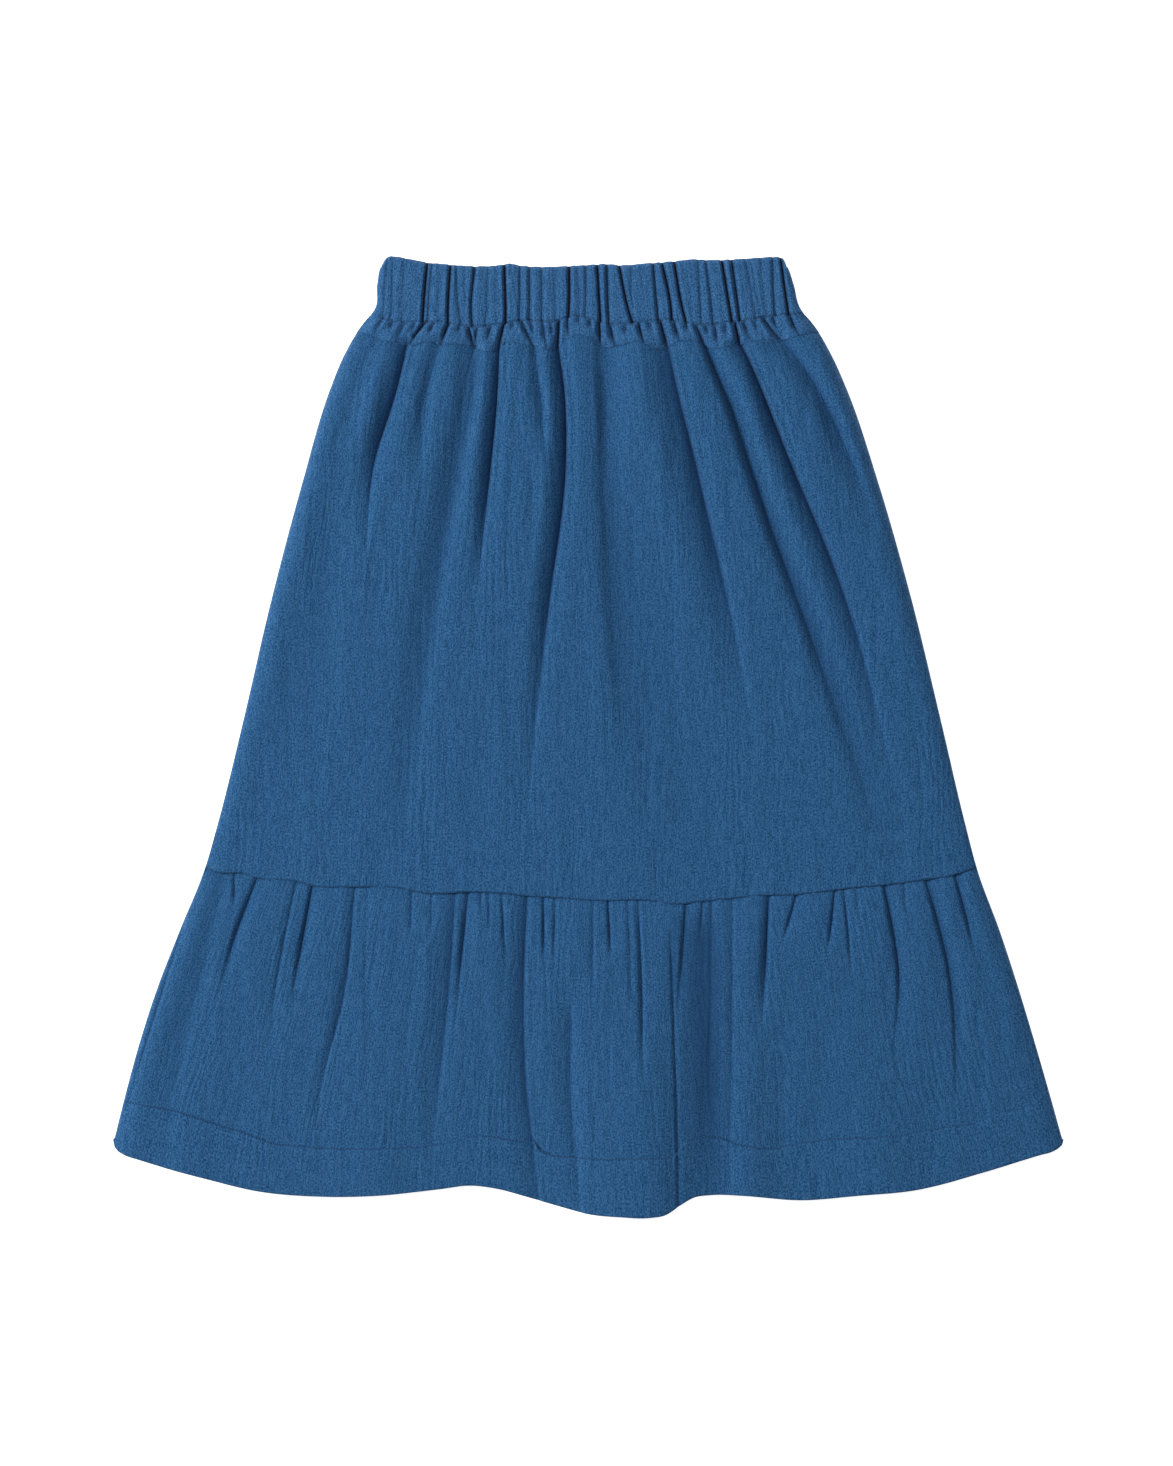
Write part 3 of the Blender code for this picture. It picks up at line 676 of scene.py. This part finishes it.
# Painted shade: darker in the grooves and along the elastic's stitched row.
painted_shade_mask = painted_valley_shade(ribs, 0.5 * dip(below_row, 1.0))
z = (CASING_BACK - CASING_PLAIN) * (1 - ribs) + 0.9 * dip(below_row, 1.5)
closed = roll(inward + 0.6, 5) * roll(down * BAND_DEEP + 0.5, 4)
z = z + (CASING_BACK + 0.3) * (1 - closed) * 0.9
z = z + np.clip(0.25 - 0.6 * crinkle, 0, 1)
cut = strip_cut(share, down, BAND_CUT)
band_back = cloth("waistband_back_cloth", x, y, z, cut, painted_shade_mask, CLOTH, False, casing_gauze)
row_back = stitch_row("elastic_stitches_back", x[sewn_row], y[sewn_row], z[sewn_row], -1, blue_thread)
sewn_on(band_back, "waistband_back", [row_back])

# The flounce's front, a straight strip gathered to the panel's lower edge. Short gathers hang from
# the seam, broad waves run to the hem, and the hem is turned up inside and topstitched.
HEM_CLOTH = 1.8
FLOUNCE_CUT = (800, 252)
HEM_EDGE = (
    (-390, -330), (-389, -334.5), (-386, -339.3), (-381, -342.5), (-368, -347), (-319, -361),
    (-269, -373), (-220, -377), (-171, -376), (-122, -371), (-97, -368), (-73, -371), (-48, -378),
    (-23, -385), (1, -391), (26, -393), (50, -393.5), (64, -391), (75, -384), (86, -378), (100, -376),
    (124, -376), (173, -380), (223, -376), (272, -371), (321, -358), (370, -343), (381, -339.8),
    (386, -336.8), (389, -333), (390, -329),
)
HEM_ROW = (
    (-390, -298), (-379, -300), (-359, -303), (-339, -307), (-319, -313), (-298, -320), (-278, -326),
    (-257, -334), (-237, -336), (-196, -338), (-154, -337), (-134, -336), (-105, -331), (-89, -327),
    (-73, -329), (-56, -332), (-44, -332), (-40, -338), (-32, -342), (-7, -345), (13, -346),
    (32, -345.5), (62, -345), (70, -344), (74, -338), (78, -333), (84, -331.5), (110, -329.5),
    (121, -334), (132, -336), (149, -338), (171, -334), (198, -330), (226, -329), (254, -327),
    (270, -324), (296, -320), (318, -316), (337, -308), (359, -303), (373, -291), (390, -286),
)
FLOUNCE_STATIONS = (0.0, 0.33, 0.67, 1.0)
FLOUNCE_FOLDS = (
    Fold((-318, -341, -365, -386), 0.55, 0.0, 1.10, 3, 2.5),
    Fold((-298, -316, -335, -350), 0.45, 0.0, 1.40, 22, 8),
    Fold((-290, -289, -288, -288), 0.70, 0.0, 0.14, 3, 2.5),
    Fold((-271, -297, -302, -305), 0.80, 0.0, 0.45, 3.5, 7),
    Fold((-239, -255, -265, -275), 0.50, 0.0, 0.60, 3.5, 3),
    Fold((-226, -240, -246, -252), 0.95, 0.0, 0.45, 3, 6),
    Fold((-191, -199, -219, -225), 0.72, 0.0, 0.95, 7, 2.5),
    Fold((-181, -183, -184, -184), 0.25, 0.0, 0.50, 3, 3),
    Fold((-144, -147, -148, -150), 0.40, 0.0, 0.20, 3, 2.5),
    Fold((-128, -129, -130, -130), 0.35, 0.0, 0.16, 3, 2.5),
    Fold((-109, -114, -123, -130), 0.72, 0.0, 1.05, 14, 4),
    Fold((-98, -106, -112, -118), 0.90, 0.0, 0.50, 6, 2),
    Fold((-88, -87, -86, -86), 0.45, 0.0, 0.10, 2.5, 2),
    Fold((-82, -79, -78, -78), 0.50, 0.0, 0.16, 2.5, 2.5),
    Fold((-71, -67, -66, -66), 0.60, 0.0, 0.28, 3, 3),
    Fold((-50, -53, -51, -41), 0.90, 0.0, 1.50, 16, 3),
    Fold((-37, -36, -36, -36), 0.75, 0.0, 0.26, 2.5, 3),
    Fold((-27, -29, -30, -30), 0.60, 0.0, 0.26, 2.5, 2.5),
    Fold((-15, -14, -14, -5), 0.60, 0.35, 1.30, 12, 3),
    Fold((-14, -13, -10, -4), -0.35, 0.85, 3.0, 3, 2.5),
    Fold((4, 4, 5, 5), 0.40, 0.0, 0.36, 4, 3),
    Fold((16, 20, 21, 22), 0.80, 0.0, 0.22, 3, 2.5),
    Fold((32, 36, 38, 38), 0.30, 0.0, 0.40, 3, 3),
    Fold((41, 44, 45, 46), 0.62, 0.0, 0.66, 4, 2.5),
    Fold((66, 69, 71.5, 73.5), 0.45, 0.12, 1.50, 2, 5),
    Fold((92, 95, 98, 100), 0.78, 0.06, 1.60, 26, 26),
    Fold((80, 74.5, 72, 72), 0.80, 0.0, 0.44, 3, 6),
    Fold((94, 88, 87, 87), 0.65, 0.0, 0.20, 3, 2.5),
    Fold((101, 100, 99, 108), 0.55, 0.0, 1.10, 3, 3),
    Fold((118, 118, 117, 115), 0.50, 0.0, 1.25, 8, 3),
    Fold((148, 144, 140, 138), 0.97, 0.0, 0.50, 6, 3),
    Fold((171, 150, 148, 146), 0.85, 0.0, 0.18, 3, 3),
    Fold((202, 194, 192, 190), 0.88, 0.0, 0.24, 3, 3),
    Fold((209, 216, 218, 220), 0.62, 0.0, 0.34, 2.5, 3),
    Fold((220, 222, 222, 222), 0.30, 0.0, 0.12, 2.5, 2.5),
    Fold((242, 254, 247, 245), 0.92, 0.0, 0.62, 3, 7),
    Fold((258, 266, 268, 268), 0.55, 0.0, 0.12, 2.5, 2.5),
    Fold((276, 295, 301, 297), 0.85, 0.0, 0.90, 3, 10),
    Fold((300, 318, 326, 330), 0.85, 0.0, 0.34, 3, 6),
)
FLOUNCE_RISE = ((0, 1.2), (0.12, 2.6), (0.4, 2.2), (0.75, 1.6), (1, 1.2))
FLOUNCE_PUFF = ((0, 2.6), (0.1, 4.8), (0.35, 4.6), (0.7, 3.8), (1, 3.2))
# A wave of the hem has its crest's x for each station, a width on either side, its height and start.
Wave = namedtuple("Wave", "line left right height start")
HEM_WAVES = (
    Wave((30, 34, 40, 46), 92, 54, 9.0, 0.0),
    Wave((118, 124, 128, 132), 34, 34, 3.0, 0.10),
    Wave((-160, -165, -172, -180), 50, 50, 2.2, 0.30),
    Wave((215, 225, 232, 240), 46, 46, 2.6, 0.25),
    Wave((-285, -300, -316, -330), 34, 34, 1.6, 0.30),
)


def waves_height(x, down):
    """How far the broad waves lift the flounce: a squared cosine across, growing towards the hem."""
    lift = np.zeros_like(x)
    for wave in HEM_WAVES:
        offset = x - curve(tuple(zip(FLOUNCE_STATIONS, wave.line)), down)
        reach = np.where(offset < 0, wave.left, wave.right)
        hump = np.cos(np.pi / 2 * np.clip(np.abs(offset) / reach, 0, 1)) ** 2
        lift = lift + wave.height * hump * ease(wave.start, 1.0, down)
    return lift


def flounce_height(x, y, down, inward):
    """Outer height of the flounce's front, a layer thicker below the hem's stitched row."""
    turned = ease(-1.5, 1.5, curve(HEM_ROW, x) - y)
    layers = 2 * (CLOTH + (HEM_CLOTH - CLOTH) * turned) + LAYERS_APART + curve(FLOUNCE_RISE, down)
    puff = curve(FLOUNCE_PUFF, down) + waves_height(x, down)
    puff = puff * smoothness(x, down, FLOUNCE_STATIONS, FLOUNCE_FOLDS)
    half = CLOTH + LAYERS_APART / 2
    return half + (layers - half + puff) * roll(inward, SIDE_ROLL)


flounce_gauze = gauze("flounce_gauze", NAP_BLUE, PAINTED_SHADE_BLUE, 0.6)
HEM_PLACE = 0.85
rows_above = spaced(64, (0, 1), 0.04) * HEM_PLACE
rows_below = HEM_PLACE + (1 - HEM_PLACE) * spaced(14, (0, 1), 0.1)
beside_row = HEM_PLACE + np.array([-0.005, -0.0028, -0.0012, 0.0012, 0.0028, 0.005])
downs = np.sort(np.concatenate([rows_above, rows_below[1:], beside_row]))
edges = ((0, raised(FLOUNCE_SEAM, 2)), (HEM_PLACE, HEM_ROW), (1, HEM_EDGE))
x, y, inward, share, down = plan(edges, downs, 550, FLOUNCE_STATIONS, FLOUNCE_FOLDS)
crinkle = crinkled(x, y, share, width=700, seed=91, depth=0.6)
below_seam = curve(FLOUNCE_SEAM, x) - y
below_hem_row = curve(HEM_ROW, x) - y
left = smoothness(x, down, FLOUNCE_STATIONS, FLOUNCE_FOLDS)
# Painted shade: darker in the gathers, under the seam and along the hem's stitched row.
painted_shade_mask = painted_valley_shade(left, 0.25 * dip(below_seam, 0.8) + 0.75 * dip(below_hem_row, 0.65))
z = flounce_height(x, y, down, inward)
z = z - SEAM_STEP * ease(5, 0, below_seam) - 0.35 * dip(below_hem_row, 0.9)
z = z + crinkle * roll(inward, 6) * (1 - 0.4 * ease(0, 3, below_hem_row))
cut = strip_cut(share, down, FLOUNCE_CUT)
z = np.maximum(z, CLOTH + FLOOR_CLEAR)
flounce_front = cloth("flounce_front_cloth", x, y, z, cut, painted_shade_mask, CLOTH, True, flounce_gauze)
sewn_row = int(np.argmin(np.abs(downs - HEM_PLACE)))
hem_front = stitch_row("hem_stitches_front", x[sewn_row], y[sewn_row], z[sewn_row], 1, blue_thread)
sewn_on(flounce_front, "flounce_front", [hem_front])

# The flounce's back, the same strip behind, lying on the floor with its gathers risen inside the
# skirt. Its hem hangs a little shorter than the front's, so it stays out of sight from above.
HEM_DEEP = 38
BACK_HEM_EDGE = (
    (-390, -330), (-389, -334), (-386, -338.5), (-381, -341.5), (-368, -345), (-319, -358),
    (-269, -367), (-171, -369), (-97, -365), (0, -368), (100, -370), (173, -374), (223, -372),
    (272, -367), (321, -355), (370, -341), (381, -338.5), (386, -336), (389, -332.5), (390, -329),
)
BACK_GATHERS = 17


def back_gathers():
    """The gathers of the flounce's back, of three lengths in turn."""
    folds = []
    for index in range(BACK_GATHERS):
        line = -290 + 580 * (index + 0.5 + 0.28 * np.sin(2.9 * index)) / BACK_GATHERS
        end = (0.85, 0.38, 0.58)[index % 3]
        depth = 0.72 + 0.2 * np.sin(1.9 * index)
        spread = 1 + 0.22 * np.array(FLOUNCE_STATIONS)
        folds.append(Fold(tuple(line * spread), depth, 0.0, end, 5, 11))
    return tuple(folds)


flounce_back_folds = back_gathers()
edges = ((0, raised(FLOUNCE_SEAM, 2)), (HEM_PLACE, raised(BACK_HEM_EDGE, HEM_DEEP)), (1, BACK_HEM_EDGE))
x, y, inward, share, down = plan(edges, downs, 320, FLOUNCE_STATIONS, flounce_back_folds)
crinkle = crinkled(x, y, share, width=700, seed=111, depth=0.5)
left = smoothness(x, down, FLOUNCE_STATIONS, flounce_back_folds)
# Painted shade, at less strength: darker in the gathers.
painted_shade_mask = 0.4 * painted_valley_shade(left)
z = back_height(down, inward, left, FLOUNCE_RISE)
below_seam = curve(FLOUNCE_SEAM, x) - y
below_hem_row = curve(BACK_HEM_EDGE, x) + HEM_DEEP - y
z = z + SEAM_STEP * ease(7, 0, below_seam) + 0.4 * dip(below_hem_row, 1.2)
z = z + np.clip(SWELL - crinkle, 0, 1)
cut = strip_cut(share, down, FLOUNCE_CUT)
flounce_back = cloth("flounce_back_cloth", x, y, z, cut, painted_shade_mask, CLOTH, False, flounce_gauze)
hem_back = stitch_row("hem_stitches_back", x[sewn_row], y[sewn_row], z[sewn_row], -1, blue_thread)
sewn_on(flounce_back, "flounce_back", [hem_back])

# The floor, a plain near-white sheet, with soft light from above and a broad light on the skirt's
# left. The camera looks straight down from 3.34 m, framed as the garment is in its picture.
FLOOR_DROP = 0.3
bpy.ops.mesh.primitive_plane_add(size=12, location=(0, 0, -FLOOR_DROP * MM))
floor = bpy.context.object
floor.name = "floor"
floor_paint = bpy.data.materials.new("floor_paint")
floor_paint.use_nodes = True
paint = floor_paint.node_tree.nodes["Principled BSDF"]
paint.inputs["Base Color"].default_value = (0.93, 0.93, 0.93, 1)
paint.inputs["Roughness"].default_value = 0.9
paint.inputs["Emission Color"].default_value = (1, 1, 1, 1)
paint.inputs["Emission Strength"].default_value = 0.78
floor.data.materials.append(floor_paint)

world = bpy.data.worlds.new("studio")
world.use_nodes = True
sky = world.node_tree.nodes["Background"]
sky.inputs["Color"].default_value = (1, 1, 1, 1)
sky.inputs["Strength"].default_value = 0.22
bpy.context.scene.world = world


def area_light(name, place, aim, size, power):
    """A square soft light at a place in metres, turned towards the aim."""
    lamp = bpy.data.lights.new(name, "AREA")
    lamp.size = size
    lamp.energy = power
    light = bpy.data.objects.new(name, lamp)
    light.location = place
    away = light.location - aim.location
    light.rotation_euler = away.to_track_quat("Z", "Y").to_euler()
    bpy.context.scene.collection.objects.link(light)


area_light("key", place=(-4.2, 1.2, 3.0), aim=floor, size=1.6, power=270)
area_light("top", place=(0.5, 0.9, 3.8), aim=floor, size=2.2, power=34)

LENS = 100
SENSOR = 36
CAMERA_HEIGHT = 3.341
CAMERA_OFFSET = (-0.0016, 0.0025)
lens = bpy.data.cameras.new("camera")
lens.lens = LENS
lens.sensor_width = SENSOR
camera = bpy.data.objects.new("camera", lens)
camera.location = (*CAMERA_OFFSET, CAMERA_HEIGHT)
bpy.context.scene.collection.objects.link(camera)
bpy.context.scene.camera = camera
bpy.context.scene.view_settings.view_transform = "Standard"
